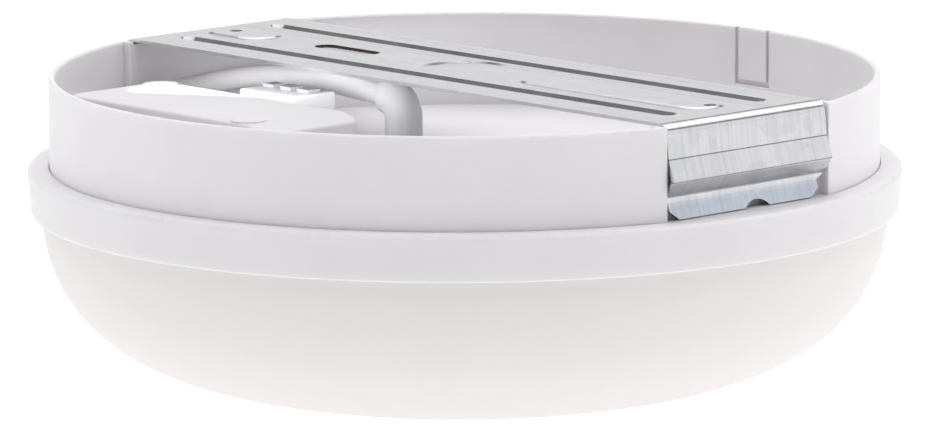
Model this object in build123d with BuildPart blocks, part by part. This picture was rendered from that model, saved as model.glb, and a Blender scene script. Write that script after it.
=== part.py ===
from build123d import *
from math import cos, degrees, pi, radians, sin, tan
import os

os.makedirs("parts", exist_ok=True)

# The origin is the middle of the bracket's back, which lies against the wall or ceiling.
# +Z points into that surface, the light hangs towards -Z and the bracket runs along X.
# All sizes are in millimetres.

# Round form of the light
ring_diameter = 320.0
rim_inset = 8.3  # from the ring's outside in to the housing wall's outside
wall_height = 33.2  # from the housing's rim down to the top of the ring
ring_height = 16.7
ring_draft = 1.5  # radius lost from the ring's top to its bottom
dome_depth = 71.8  # from the dome's widest level down to its lowest point
dome_start = 10.5  # from the ring's top down to the dome's widest level
dome_side_power = 3.83  # the higher, the squarer the dome's shoulder
dome_base_power = 2.36  # the higher, the flatter the dome's base
dome_points = 11

# Bracket
bracket_inset = 6.7  # from the housing wall's outside, at the middle, in to the bracket's end
bracket_width = 78.4
sheet = 1.2
bracket_standoff = 0.9  # the bracket's sheet stands this far above the housing's rim
pad_height = 0.5  # the pressed pads stand this far above the sheet
pad_width = 20.0
left_pad_length = 34.0
left_pad_inset = 6.0  # from the pad's outer end to the end of the bracket
right_pad_length = 98.0
right_pad_inset = 14.0
pad_slope = 65.0
groove_spacing = 44.6
groove_inset = 13.0  # from the groove's end to the end of the bracket
groove_width = 7.0
groove_depth = 2.2
groove_slope = 30.0  # of the groove's sides, off the vertical
dimple_diameter = 36.0
dimple_depth = 0.5
dimple_slope = 75.0
slot_length = 32.0
slot_width = 9.0
slot_offset = 64.0
fixing_hole = 4.6
fixing_inset = 18.0  # from the hole's middle to the end of the bracket
bend_radius = 4.0

# Sprung legs at the bracket's two ends: how far out each crease stands, and how far down it is
leg_face_out = 1.2
leg_face_down = 12.4
leg_bead_out = 4.0
leg_bead_down = 20.2
leg_waist_in = 0.2
leg_waist_down = 25.9
leg_lip_down = 28.0
leg_flare_out = 1.8
leg_gap = 0.4  # between a leg's lower edge and the shelf below it
crease_radius = 1.3
tab_inset = 0.8  # at one side of each leg, and at its other side:
tab_far_inset = 4.0
tab_corner_width = 4.0
tab_corner_height = 3.0
release_notch_width = 12.0
release_notch_height = 2.6
release_notch_offset = 4.0

# Housing
wall = 2.4
rim_round = 1.0
floor_depth = 36.0  # from the rim down to the floor
floor_thickness = 2.5
skirt_step = 2.3  # the skirt under the floor is this much smaller in radius
skirt_height = 7.8
pocket_clearance = 0.8  # beside the bracket in its pocket
pocket_wall = 2.0
pocket_wall_gap = 1.8  # between the leg's waist and the pocket wall
strip_clearance = 0.7  # under the bracket where it crosses the pocket wall
catch_reach = 1.4  # of the rib in the pocket that the leg's waist springs over
catch_height = 1.2
catch_width = 60.0
catch_down = 21.0  # from the rim to the top of the rib
knock_out_width = 14.4
knock_out_height = 20.0
score_width = 2.0
score_depth = 1.2

# Trim ring, its snap rib and the seal
ring_gap = 0.3
ring_edge_round = 2.4
ring_foot_round = 0.8
ring_lip = 2.9
snap_rib_height = 1.4
snap_rib_out = 0.8
snap_rib_down = 2.0
seal_thickness = 1.6
seal_gap = 0.2
seal_edge = 0.4

# Diffuser and its bayonet
diffuser_wall = 2.4
diffuser_gap = 0.6  # between the ring and the diffuser
lug_height = 2.6
lug_reach = 2.7
lug_count = 6
lug_arc = 18.0
hook_gap = 0.3
hook_height = 2.6
hook_reach = 2.5
stop_arc = 1.2
stop_gap = 0.3

# Light source
tray_gap = 0.6
tray_drop = 5.6  # from the housing's floor down to the tray
tray_thickness = 1.2
tray_screw_count = 4
boss_diameter = 8.0
board_outer_diameter = 220.0
board_inner_diameter = 92.0
board_thickness = 1.6
board_screw_circle_diameter = 136.0
board_screw_count = 3
board_screw_end = 1.5  # of a board screw, past the tray
led_length = 3.5
led_width = 2.8
led_height = 0.9
led_circle_diameters = (116.0, 160.0, 200.0)
led_circle_counts = (16, 22, 28)

# Screws
screw_thread = 3.0
screw_play = 0.2
pilot_play = 0.05
head_diameter = 6.0
head_height = 1.8
recess_diameter = 2.6
recess_depth = 1.0

# Driver
driver_left_gap = 51.1  # from the inside of the drum's wall, at the middle, to the driver's left end
driver_length = 110.0
driver_back = -60.9
driver_width = 46.0
driver_height = 28.0
driver_split = 13.4  # height of the lower case
driver_wall = 1.8
driver_corner = 5.0
driver_edge_round = 1.2
driver_slope_length = 10.0
driver_slope_drop = 2.5
driver_boss_diameter = 13.0
driver_boss_height = 0.45
driver_screw_inset = 7.0
driver_screw_post_diameter = 7.0
lip_height = 1.5
lip_wall = 0.8
fit_gap = 0.2
driver_post_diameter = 4.0
driver_post_height = 4.0
driver_post_inset = 6.0
driver_board_left = 9.0  # from the driver's left end to its circuit board
driver_board_gap = 1.0  # between the board and the case's other walls
transformer_size = (22.0, 20.0, 14.0)
transformer_place = (10.0, -4.0)  # from the driver's middle, like the places below
capacitor_diameter = 10.0
capacitor_height = 14.0
capacitor_places = [(-24.0, 5.0), (-24.0, -9.0)]
choke_outer = 15.0
choke_inner = 7.0
choke_height = 8.0
choke_place = (30.0, 6.0)
output_terminal_size = (9.0, 12.0, 8.0)
input_terminal_size = (15.0, 9.0, 8.0)

# Terminal block
terminal_middle = (-57.0, -36.0)
terminal_pitch = 9.5
terminal_poles = 3
terminal_end_wall = 0.75
terminal_width = 20.0
terminal_height = 26.5
terminal_round = 0.8
terminal_ear_length = 8.0
terminal_ear_width = 10.0
terminal_ear_height = 3.0
cavity_length = 14.0
cavity_width = 6.5
cavity_bottom = 3.0
cavity_height = 14.0
button_length = 6.0
button_width = 6.0
button_proud = 1.2
button_foot_length = 9.0
button_foot_height = 1.5
button_gap = 0.25
button_travel = 1.5
button_rear = 2.0  # from the block's middle to the row of buttons
wire_hole = 3.4
wire_height = 9.2  # of the wire holes above the floor
spring_sheet = 0.5
spring_width = 5.0
spring_bend = 1.0

# Leads
lead_diameter = 8.0
lead_play = 0.2
lead_exit_drop = 2.0  # from the driver's seam down to the lead where it leaves the driver
lead_exit_offset = -1.0
mains_wire_diameter = 2.8
mains_wire_shift = 3.0
led_wire_diameter = 2.2
led_wire_spacing = 2.8
led_wire_bend = 5.0
led_wire_lower_bend = 7.0
sleeve_place = (-33.0, 0.0)
sleeve_outer = 14.0
sleeve_inner = 10.6
sleeve_bend = 8.0
sleeve_mouth = 1.0  # straight length at the sleeve's mouth, where it grips the lead
sleeve_play = 0.1
sleeve_below_floor = 1.5
sleeve_flange = 20.0
sleeve_flange_height = 2.0
sleeve_barb = 16.5
lead_overlap = 3.5
lead_level = 15.0  # from the back of the light to the lead's axis where it enters the sleeve
connector_size = (8.0, 9.0, 4.6)
connector_wire_depth = 4.0
arc_share = 0.45

# Levels and radii that follow from the sizes above
sheet_top = -pad_height
rim_z = sheet_top - bracket_standoff
ring_top = rim_z - wall_height
ring_bottom = ring_top - ring_height
floor_top = rim_z - floor_depth
floor_bottom = floor_top - floor_thickness
skirt_bottom = floor_bottom - skirt_height
ring_radius = ring_diameter / 2
wall_outer = ring_radius - rim_inset
wall_inner = wall_outer - wall
skirt_outer = wall_outer - skirt_step
skirt_inner = skirt_outer - wall
diffuser_outer = ring_radius - ring_draft - ring_lip - diffuser_gap
diffuser_inner = diffuser_outer - diffuser_wall
diffuser_rim = floor_bottom - seal_thickness - seal_gap
dome_widest = ring_top - dome_start
hook_top = diffuser_rim - lug_height - hook_gap
tray_top = floor_bottom - tray_drop
tray_bottom = tray_top - tray_thickness
tray_radius = skirt_inner - tray_gap
tray_screw_radius = (board_outer_diameter / 2 + tray_radius) / 2
board_bottom = tray_bottom - board_thickness
half_bracket = wall_outer - bracket_inset
groove_length = 2 * (half_bracket - groove_inset)
fixing_spacing = 2 * (half_bracket - fixing_inset)
driver_left = driver_left_gap - wall_inner
driver_right = driver_left + driver_length
driver_front = driver_back - driver_width
driver_top = floor_top + driver_height
driver_seam = floor_top + driver_split
driver_middle = ((driver_left + driver_right) / 2, (driver_back + driver_front) / 2)
driver_screw_places = [
    (driver_left + driver_screw_inset, driver_back - driver_screw_inset),
    (driver_right - driver_slope_length - driver_screw_inset, driver_front + driver_screw_inset),
]

terminal_half = terminal_poles * terminal_pitch / 2 + terminal_end_wall
terminal_right = terminal_middle[0] + terminal_half
terminal_screw_place = (terminal_right + terminal_ear_length / 2, terminal_middle[1])
lead_exit = driver_middle[1] + lead_exit_offset
lead_exit_z = driver_seam - lead_exit_drop - lead_diameter / 2
lead_z = -lead_level
wire_z = floor_top + wire_height


def radial_plane(angle):
    """A plane through the Z axis whose X runs outwards at this angle, and whose Y is up."""
    out = (cos(radians(angle)), sin(radians(angle)), 0)
    return Plane(origin=(0, 0, 0), x_dir=out, z_dir=(out[1], -out[0], 0))


def dome_curve(radius, depth, top):
    """Points of the dome's profile, from its lowest point out to its widest level."""
    points = []
    for step in range(dome_points + 1):
        turn = (step / dome_points) ** 1.5 * pi / 2
        out = radius * sin(turn) ** (2 / dome_side_power)
        points.append((out, top - depth * max(cos(turn), 0.0) ** (2 / dome_base_power)))
    return points


def route_radii(points):
    """The largest arc that each corner of a lead's route leaves room for."""
    radii = []
    for before, corner, after in zip(points, points[1:], points[2:]):
        run_in = Vector(*corner) - Vector(*before)
        run_out = Vector(*after) - Vector(*corner)
        turn = radians(run_in.get_angle(run_out))
        radii.append(arc_share * min(run_in.length, run_out.length) / tan(turn / 2))
    return radii


# Mounting bracket: one bent and pressed steel sheet with a sprung leg at each end
leg_profile = [
    (half_bracket, sheet_top),
    (half_bracket + leg_face_out, sheet_top - leg_face_down),
    (half_bracket + leg_bead_out, sheet_top - leg_bead_down),
    (half_bracket - leg_waist_in, sheet_top - leg_waist_down),
    (half_bracket - leg_waist_in, sheet_top - leg_lip_down),
    (half_bracket + leg_flare_out, ring_top + leg_gap),
]
bracket_profile = [(-x, z) for x, z in reversed(leg_profile)] + leg_profile
crease_radii = [crease_radius] * (len(leg_profile) - 2)
leg_bottom = ring_top + leg_gap
pads = [
    (-half_bracket + left_pad_inset + left_pad_length / 2, left_pad_length),
    (half_bracket - right_pad_inset - right_pad_length / 2, right_pad_length),
]

with BuildPart() as wall_bracket:
    with BuildSketch(Plane.XZ):
        with BuildLine():
            FilletPolyline(*bracket_profile, radius=crease_radii + [bend_radius] * 2 + crease_radii)
            offset(amount=sheet, side=Side.RIGHT)
        make_face()
    extrude(amount=bracket_width / 2, both=True)
    # beads under the two grooves, then the grooves
    with BuildSketch(Plane.XY.offset(sheet_top - sheet)):
        with GridLocations(0, groove_spacing, 1, 2):
            SlotOverall(groove_length + 2 * sheet, groove_width + 2 * sheet)
    extrude(amount=-groove_depth, taper=groove_slope)
    with BuildSketch(Plane.XY.offset(sheet_top)):
        with GridLocations(0, groove_spacing, 1, 2):
            SlotOverall(groove_length, groove_width)
    extrude(amount=-groove_depth, taper=groove_slope, mode=Mode.SUBTRACT)
    # raised pads that bear on the wall, hollow underneath like the rest of the pressing
    for pad_middle, pad_length in pads:
        with BuildSketch(Plane.XY.offset(sheet_top)):
            with Locations((pad_middle, 0)):
                SlotOverall(pad_length, pad_width)
        extrude(amount=pad_height, taper=pad_slope)
        with BuildSketch(Plane.XY.offset(sheet_top - sheet)):
            with Locations((pad_middle, 0)):
                SlotOverall(pad_length - 2 * sheet, pad_width - 2 * sheet)
        extrude(amount=pad_height, mode=Mode.SUBTRACT)
    # shallow round dimple in the middle
    with BuildSketch(Plane.XY.offset(sheet_top - sheet)):
        Circle(dimple_diameter / 2)
    extrude(amount=-dimple_depth, taper=dimple_slope)
    with BuildSketch(Plane.XY.offset(sheet_top)):
        Circle(dimple_diameter / 2 - sheet)
    extrude(amount=-dimple_depth, taper=dimple_slope, mode=Mode.SUBTRACT)
    # slotted hole and the two round fixing holes
    with BuildSketch(Plane.XY.offset(0)):
        with Locations((-slot_offset, 0)):
            SlotOverall(slot_length, slot_width)
        with GridLocations(fixing_spacing, 0, 2, 1):
            Circle(fixing_hole / 2)
    extrude(amount=-(pad_height + 2 * sheet), mode=Mode.SUBTRACT)
    # narrower lower tab on each leg, with cut corners and a notch for a screwdriver
    tab_top = sheet_top - leg_lip_down
    notch_radius = ((release_notch_width / 2) ** 2 + release_notch_height**2) / (2 * release_notch_height)
    for side in (-1, 1):
        with BuildSketch(Plane.YZ.offset(side * (half_bracket + leg_bead_out / 2))):
            for edge, inset in ((-side, tab_inset), (side, tab_far_inset)):
                tab_half = bracket_width / 2 - inset
                with BuildLine():
                    Polyline(
                        (edge * bracket_width, sheet_top - leg_waist_down),
                        (edge * bracket_width / 2, sheet_top - leg_waist_down),
                        (edge * tab_half, tab_top),
                        (edge * tab_half, leg_bottom + tab_corner_height),
                        (edge * (tab_half - tab_corner_width), leg_bottom),
                        (edge * (tab_half - tab_corner_width), ring_bottom),
                        (edge * bracket_width, ring_bottom),
                        close=True,
                    )
                make_face()
            with Locations((side * release_notch_offset, leg_bottom + release_notch_height - notch_radius)):
                Circle(notch_radius)
        extrude(amount=2 * leg_bead_out, both=True, mode=Mode.SUBTRACT)
wall_bracket.part.label = "wall_bracket"
export_step(wall_bracket.part, "parts/wall_bracket.step")

# Housing: drum wall, floor and skirt in one moulding, with a pocket for each end of the bracket
pocket_half = bracket_width / 2 + pocket_clearance
pocket_outer_face = half_bracket - leg_waist_in - sheet - pocket_wall_gap
pocket_inner_face = pocket_outer_face - pocket_wall
strip_underside = sheet_top - sheet - strip_clearance
above = 5.0  # how far a cutting shape reaches past what it cuts

with BuildPart() as housing:
    with BuildSketch(Plane.XZ):
        with BuildLine():
            Polyline(
                (0, floor_top),
                (wall_inner, floor_top),
                (wall_inner, rim_z - rim_round),
            )
            RadiusArc((wall_inner, rim_z - rim_round), (wall_inner + rim_round, rim_z), rim_round)
            Line((wall_inner + rim_round, rim_z), (wall_outer - rim_round, rim_z))
            RadiusArc((wall_outer - rim_round, rim_z), (wall_outer, rim_z - rim_round), rim_round)
            Polyline(
                (wall_outer, rim_z - rim_round),
                (wall_outer, floor_bottom),
                (skirt_outer, floor_bottom),
                (skirt_outer, skirt_bottom),
                (skirt_inner, skirt_bottom),
                (skirt_inner, floor_bottom),
                (0, floor_bottom),
                (0, floor_top),
            )
        make_face()
    revolve(axis=Axis.Z)
    # blocks behind the bracket's ends, trimmed to the drum and hollowed into pockets
    for side in (-1, 1):
        with BuildSketch(Plane.XY.offset(floor_bottom)):
            with Locations((side * (pocket_inner_face + ring_radius) / 2, 0)):
                Rectangle(ring_radius - pocket_inner_face, 2 * (pocket_half + pocket_wall))
            Circle(wall_outer - wall / 2, mode=Mode.INTERSECT)
        extrude(amount=rim_z - floor_bottom)
        with BuildSketch(Plane.XY.offset(ring_top)):
            with Locations((side * (pocket_outer_face + ring_radius) / 2, 0)):
                Rectangle(ring_radius - pocket_outer_face, 2 * pocket_half)
        extrude(amount=wall_height + above, mode=Mode.SUBTRACT)
        with BuildSketch(Plane.XY.offset(strip_underside)):
            with Locations((side * (pocket_outer_face - pocket_wall / 2), 0)):
                Rectangle(2 * pocket_wall, 2 * pocket_half)
        extrude(amount=above, mode=Mode.SUBTRACT)
        with BuildSketch(Plane.XY.offset(rim_z - catch_down)):
            with Locations((side * (pocket_outer_face + (catch_reach - pocket_wall) / 2), 0)):
                Rectangle(catch_reach + pocket_wall, catch_width)
        extrude(amount=-catch_height)
    # rib that the trim ring snaps over
    with BuildSketch(Plane.XZ):
        with Locations((wall_outer, ring_top - snap_rib_down)):
            Rectangle(
                snap_rib_out + wall / 2, snap_rib_height, align=(Align.CENTER, Align.MAX)
            )
    revolve(axis=Axis.Z)
    # bosses under the floor for the tray screws and the terminal block's screw, and the screws' holes
    with BuildSketch(Plane.XY.offset(floor_bottom)):
        with PolarLocations(tray_screw_radius, tray_screw_count, start_angle=45):
            Circle(boss_diameter / 2)
    extrude(amount=-tray_drop)
    with BuildSketch(Plane.XY.offset(floor_bottom)):
        with Locations(terminal_screw_place):
            Circle(boss_diameter / 2)
    extrude(amount=-(tray_drop - fit_gap))
    with BuildSketch(Plane.XY.offset(tray_top)):
        with PolarLocations(tray_screw_radius, tray_screw_count, start_angle=45):
            Circle(screw_thread / 2 + pilot_play)
    extrude(amount=tray_drop, mode=Mode.SUBTRACT)
    with BuildSketch(Plane.XY.offset(floor_top)):
        with Locations(*driver_screw_places):
            Circle(screw_thread / 2 + screw_play)
        with Locations(terminal_screw_place):
            Circle(screw_thread / 2 + pilot_play)
        with Locations(sleeve_place):
            Circle(sleeve_outer / 2 + pilot_play)
    extrude(amount=-(floor_thickness + tray_drop), mode=Mode.SUBTRACT)
    # bayonet hooks round the skirt, each with a stop at its locked end
    for number in range(lug_count):
        middle_angle = number * 360 / lug_count
        with BuildSketch(radial_plane(middle_angle - lug_arc / 2)):
            with Locations((skirt_outer - wall / 2, hook_top)):
                Rectangle(hook_reach + wall / 2, hook_height, align=(Align.MIN, Align.MAX))
        revolve(axis=Axis.Z, revolution_arc=lug_arc)
        stop_angle = middle_angle - lug_arc / 2 - degrees(stop_gap / skirt_outer)
        with BuildSketch(radial_plane(stop_angle - stop_arc)):
            with Locations((skirt_outer - wall / 2, hook_top - hook_height)):
                Rectangle(
                    hook_reach + wall / 2,
                    hook_height + hook_gap + lug_height / 2,
                    align=(Align.MIN, Align.MIN),
                )
        revolve(axis=Axis.Z, revolution_arc=stop_arc + degrees(stop_gap / skirt_outer))
    # scored cable knock-outs in the wall, on both sides of the bracket
    for side in (-1, 1):
        score_plane = Plane.XZ.offset(-side * (wall_inner + score_depth))
        with BuildSketch(score_plane):
            with Locations((0, rim_z)):
                Rectangle(
                    knock_out_width + 2 * score_width,
                    2 * (knock_out_height + score_width),
                )
                Rectangle(knock_out_width, 2 * knock_out_height, mode=Mode.SUBTRACT)
        extrude(amount=side * 2 * score_depth, mode=Mode.SUBTRACT)
housing.part.label = "housing"
export_step(housing.part, "parts/housing.step")

# Trim ring: the widest part, snapped round the housing and hiding the bayonet
ring_bore = wall_outer + ring_gap
ring_skirt_inner = diffuser_outer + diffuser_gap
ring_foot = ring_radius - ring_draft

with BuildPart() as trim_ring:
    with BuildSketch(Plane.XZ):
        with BuildLine():
            FilletPolyline(
                (ring_bore, ring_top),
                (ring_radius, ring_top),
                (ring_foot, ring_bottom),
                (ring_skirt_inner, ring_bottom),
                radius=[ring_edge_round, ring_foot_round],
            )
            Polyline(
                (ring_skirt_inner, ring_bottom),
                (ring_skirt_inner, floor_bottom),
                (ring_bore, floor_bottom),
                (ring_bore, ring_top),
            )
        make_face()
        with Locations((ring_bore, ring_top - snap_rib_down + fit_gap)):
            Rectangle(
                2 * snap_rib_out,
                snap_rib_height + 2 * fit_gap,
                align=(Align.CENTER, Align.MAX),
                mode=Mode.SUBTRACT,
            )
    revolve(axis=Axis.Z)
trim_ring.part.label = "trim_ring"
export_step(trim_ring.part, "parts/trim_ring.step")

# Flat silicone seal between the floor's edge and the diffuser's rim
with BuildPart() as diffuser_seal:
    with BuildSketch(Plane.XY.offset(floor_bottom)):
        Circle(ring_skirt_inner - seal_edge)
        Circle(skirt_outer + seal_edge, mode=Mode.SUBTRACT)
    extrude(amount=-seal_thickness)
diffuser_seal.part.label = "diffuser_seal"
export_step(diffuser_seal.part, "parts/diffuser_seal.step")

# Diffuser: opal dome with a straight rim and inward bayonet lugs
outer_curve = dome_curve(diffuser_outer, dome_depth, dome_widest)
inner_curve = dome_curve(diffuser_inner, dome_depth - diffuser_wall, dome_widest)

with BuildPart() as diffuser:
    with BuildSketch(Plane.XZ):
        with BuildLine():
            Spline(*outer_curve, tangents=((1, 0), (0, 1)))
            Polyline(
                outer_curve[-1],
                (diffuser_outer, diffuser_rim),
                (diffuser_inner, diffuser_rim),
                inner_curve[-1],
            )
            Spline(*inner_curve, tangents=((1, 0), (0, 1)))
            Line(inner_curve[0], outer_curve[0])
        make_face()
    revolve(axis=Axis.Z)
    for number in range(lug_count):
        with BuildSketch(radial_plane(number * 360 / lug_count - lug_arc / 2)):
            with Locations((diffuser_inner + diffuser_wall / 2, diffuser_rim)):
                Rectangle(lug_reach + diffuser_wall / 2, lug_height, align=(Align.MAX, Align.MAX))
        revolve(axis=Axis.Z, revolution_arc=lug_arc)
diffuser.part.label = "diffuser"
export_step(diffuser.part, "parts/diffuser.step")

# Tray: white painted disc that carries the LED board
with BuildPart() as led_tray:
    with BuildSketch(Plane.XY.offset(tray_bottom)):
        Circle(tray_radius)
        with PolarLocations(tray_screw_radius, tray_screw_count, start_angle=45):
            Circle(screw_thread / 2 + screw_play, mode=Mode.SUBTRACT)
        with PolarLocations(board_screw_circle_diameter / 2, board_screw_count, start_angle=30):
            Circle(screw_thread / 2 + pilot_play, mode=Mode.SUBTRACT)
        with Locations(sleeve_place):
            Circle(sleeve_outer / 2 + screw_play, mode=Mode.SUBTRACT)
    extrude(amount=tray_thickness)
led_tray.part.label = "led_tray"
export_step(led_tray.part, "parts/led_tray.step")

# LED board: flat ring under the tray
with BuildPart() as led_board:
    with BuildSketch(Plane.XY.offset(board_bottom)):
        Circle(board_outer_diameter / 2)
        Circle(board_inner_diameter / 2, mode=Mode.SUBTRACT)
        with PolarLocations(board_screw_circle_diameter / 2, board_screw_count, start_angle=30):
            Circle(screw_thread / 2 + screw_play, mode=Mode.SUBTRACT)
    extrude(amount=board_thickness)
led_board.part.label = "led_board"
export_step(led_board.part, "parts/led_board.step")

# LEDs in rings on the board's lower face
with BuildPart() as leds:
    for circle_diameter, led_count in zip(led_circle_diameters, led_circle_counts):
        with BuildSketch(Plane.XY.offset(board_bottom)):
            with PolarLocations(circle_diameter / 2, led_count, start_angle=180 / led_count):
                Rectangle(led_width, led_length)
        extrude(amount=-led_height)
leds.part.label = "leds"
export_step(leds.part, "parts/leds.step")

# Connector on the board's inner edge, open towards the middle
connector_left = -(board_inner_diameter / 2 + connector_size[0])
with BuildPart() as led_connector:
    with Locations((connector_left + connector_size[0] / 2, 0, board_bottom)):
        Box(*connector_size, align=(Align.CENTER, Align.CENTER, Align.MAX))
    for wire_side in (-1, 1):
        with BuildSketch(Plane.YZ.offset(connector_left + connector_size[0])):
            with Locations((wire_side * led_wire_spacing / 2, board_bottom - connector_size[2] / 2)):
                Circle(led_wire_diameter / 2 + pilot_play)
        extrude(amount=-connector_wire_depth, mode=Mode.SUBTRACT)
led_connector.part.label = "led_connector"
export_step(led_connector.part, "parts/led_connector.step")


def screw_group(places, seat, length, upwards):
    """Pan-head screws as a group of separate solids, heads on the seat level."""
    turn = 1 if upwards else -1
    with BuildPart() as group:
        with BuildSketch(Plane.XY.offset(seat)):
            with Locations(*places):
                Circle(head_diameter / 2)
        extrude(amount=-turn * head_height)
        with BuildSketch(Plane.XY.offset(seat)):
            with Locations(*places):
                Circle(screw_thread / 2)
        extrude(amount=turn * length)
        with BuildSketch(Plane.XY.offset(seat - turn * head_height)):
            with Locations(*places):
                RegularPolygon(recess_diameter / 2, 6)
        extrude(amount=turn * recess_depth, mode=Mode.SUBTRACT)
    return group


def ring_places(circle_diameter, count, start):
    """Points spaced evenly round a circle."""
    steps = [radians(start + number * 360 / count) for number in range(count)]
    return [(circle_diameter / 2 * cos(step), circle_diameter / 2 * sin(step)) for step in steps]


# Screws that hold the tray to the housing
tray_screws = screw_group(
    ring_places(2 * tray_screw_radius, tray_screw_count, 45),
    tray_bottom,
    tray_thickness + tray_drop - 2 * fit_gap,
    upwards=True,
)
tray_screws.part.label = "tray_screws"
export_step(tray_screws.part, "parts/tray_screws.step")

# Screws that hold the board to the tray
board_screws = screw_group(
    ring_places(board_screw_circle_diameter, board_screw_count, 30),
    board_bottom,
    board_thickness + tray_thickness + board_screw_end,
    upwards=True,
)
board_screws.part.label = "board_screws"
export_step(board_screws.part, "parts/board_screws.step")

# Driver's lower case, standing on the housing's floor
driver_inner_length = driver_length - 2 * driver_wall
driver_inner_width = driver_width - 2 * driver_wall
driver_inner_corner = driver_corner - driver_wall
board_left = driver_left + driver_board_left
board_right = driver_right - driver_wall - driver_board_gap
board_front = driver_front + driver_wall + driver_board_gap
board_back = driver_back - driver_wall - driver_board_gap
circuit_middle = ((board_left + board_right) / 2, (board_front + board_back) / 2)
circuit_length = board_right - board_left
circuit_width = board_back - board_front
circuit_bottom = floor_top + driver_wall + driver_post_height
circuit_top = circuit_bottom + board_thickness
mains_poles = [terminal_middle[0], terminal_middle[0] + terminal_pitch]
mains_inlets = [place + mains_wire_shift for place in mains_poles]

with BuildPart() as driver_case:
    with BuildSketch(Plane.XY.offset(floor_top)):
        with Locations(driver_middle):
            RectangleRounded(driver_length, driver_width, driver_corner)
    extrude(amount=driver_split)
    with BuildSketch(Plane.XY.offset(floor_top + driver_wall)):
        with Locations(driver_middle):
            RectangleRounded(driver_inner_length, driver_inner_width, driver_inner_corner)
    extrude(amount=driver_split, mode=Mode.SUBTRACT)
    # posts under the circuit board, two of them for the screws from under the housing's floor
    with BuildSketch(Plane.XY.offset(floor_top + driver_wall)):
        with Locations(circuit_middle):
            with GridLocations(
                circuit_length - 2 * driver_post_inset, circuit_width - 2 * driver_post_inset, 2, 2
            ):
                Circle(driver_post_diameter / 2)
        with Locations(*driver_screw_places):
            Circle(driver_screw_post_diameter / 2)
    extrude(amount=driver_post_height)
    with BuildSketch(Plane.XY.offset(floor_top)):
        with Locations(*driver_screw_places):
            Circle(screw_thread / 2 + pilot_play)
    extrude(amount=driver_wall + driver_post_height, mode=Mode.SUBTRACT)
    # outlet for the sheathed lead at the left end, inlets for the mains wires at the back
    with BuildSketch(Plane.YZ.offset(driver_left)):
        with Locations((lead_exit, lead_exit_z)):
            Circle(lead_diameter / 2 + lead_play)
    extrude(amount=driver_wall, mode=Mode.SUBTRACT)
    with BuildSketch(Plane.XZ.offset(-driver_back)):
        for place in mains_inlets:
            with Locations((place, wire_z)):
                Circle(mains_wire_diameter / 2 + lead_play)
    extrude(amount=driver_wall, mode=Mode.SUBTRACT)
driver_case.part.label = "driver_case"
export_step(driver_case.part, "parts/driver_case.step")

# Driver's cover, with a sloped end and two low round bosses
cover_height = driver_height - driver_split
slope_start = driver_right - driver_slope_length
slope_foot = driver_top - driver_slope_drop

with BuildPart() as driver_cover:
    with BuildSketch(Plane.XZ.offset(-driver_back)):
        with BuildLine():
            Polyline(
                (driver_left, driver_seam),
                (driver_right, driver_seam),
                (driver_right, slope_foot),
                (slope_start, driver_top),
                (driver_left, driver_top),
                close=True,
            )
        make_face()
    extrude(amount=driver_width)
    with BuildSketch(Plane.XY.offset(driver_seam)):
        with Locations(driver_middle):
            RectangleRounded(driver_length, driver_width, driver_corner)
    extrude(amount=cover_height, mode=Mode.INTERSECT)
    slope_face = driver_cover.faces().sort_by(Axis.Z)[-2]
    top_edges = driver_cover.faces().sort_by(Axis.Z)[-1].edges() + slope_face.edges()
    outer_edges = top_edges.filter_by(lambda edge: abs(edge.center().X - slope_start) > fit_gap)
    fillet(outer_edges, driver_edge_round)
    # hollow, lower under the slope
    with BuildSketch(Plane.XY.offset(driver_seam)):
        with Locations(driver_middle):
            RectangleRounded(driver_inner_length, driver_inner_width, driver_inner_corner)
    extrude(amount=slope_foot - driver_wall - driver_seam, mode=Mode.SUBTRACT)
    with BuildSketch(Plane.XY.offset(driver_seam)):
        with Locations(((driver_left + slope_start) / 2, driver_middle[1])):
            Rectangle(slope_start - driver_left - 2 * driver_wall, driver_inner_width - 2 * driver_corner)
    extrude(amount=cover_height - driver_wall, mode=Mode.SUBTRACT)
    # lip that enters the lower case
    with BuildSketch(Plane.XY.offset(driver_seam)):
        with Locations(driver_middle):
            RectangleRounded(
                driver_inner_length - 2 * fit_gap, driver_inner_width - 2 * fit_gap, driver_inner_corner
            )
            RectangleRounded(
                driver_inner_length - 2 * fit_gap - 2 * lip_wall,
                driver_inner_width - 2 * fit_gap - 2 * lip_wall,
                driver_inner_corner - lip_wall,
                mode=Mode.SUBTRACT,
            )
    extrude(amount=-lip_height)
    with BuildSketch(Plane.XY.offset(driver_seam)):
        with Locations(driver_middle):
            RectangleRounded(
                driver_length - driver_wall, driver_width - driver_wall, driver_corner - driver_wall / 2
            )
            RectangleRounded(
                driver_inner_length - 2 * fit_gap - 2 * lip_wall,
                driver_inner_width - 2 * fit_gap - 2 * lip_wall,
                driver_inner_corner - lip_wall,
                mode=Mode.SUBTRACT,
            )
    extrude(amount=lip_height)
    with BuildSketch(Plane.XY.offset(driver_top - driver_wall)):
        with Locations(*driver_screw_places):
            Circle(driver_boss_diameter / 2)
    extrude(amount=driver_wall + driver_boss_height)
driver_cover.part.label = "driver_cover"
export_step(driver_cover.part, "parts/driver_cover.step")

# Screws from under the housing's floor up into the driver
driver_screws = screw_group(
    driver_screw_places,
    floor_bottom,
    floor_thickness + driver_wall + driver_post_height - fit_gap,
    upwards=True,
)
driver_screws.part.label = "driver_screws"
export_step(driver_screws.part, "parts/driver_screws.step")

# Driver's circuit board
with BuildPart() as driver_board:
    with BuildSketch(Plane.XY.offset(circuit_bottom)):
        with Locations(circuit_middle):
            Rectangle(circuit_length, circuit_width)
    extrude(amount=board_thickness)
driver_board.part.label = "driver_board"
export_step(driver_board.part, "parts/driver_board.step")

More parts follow.
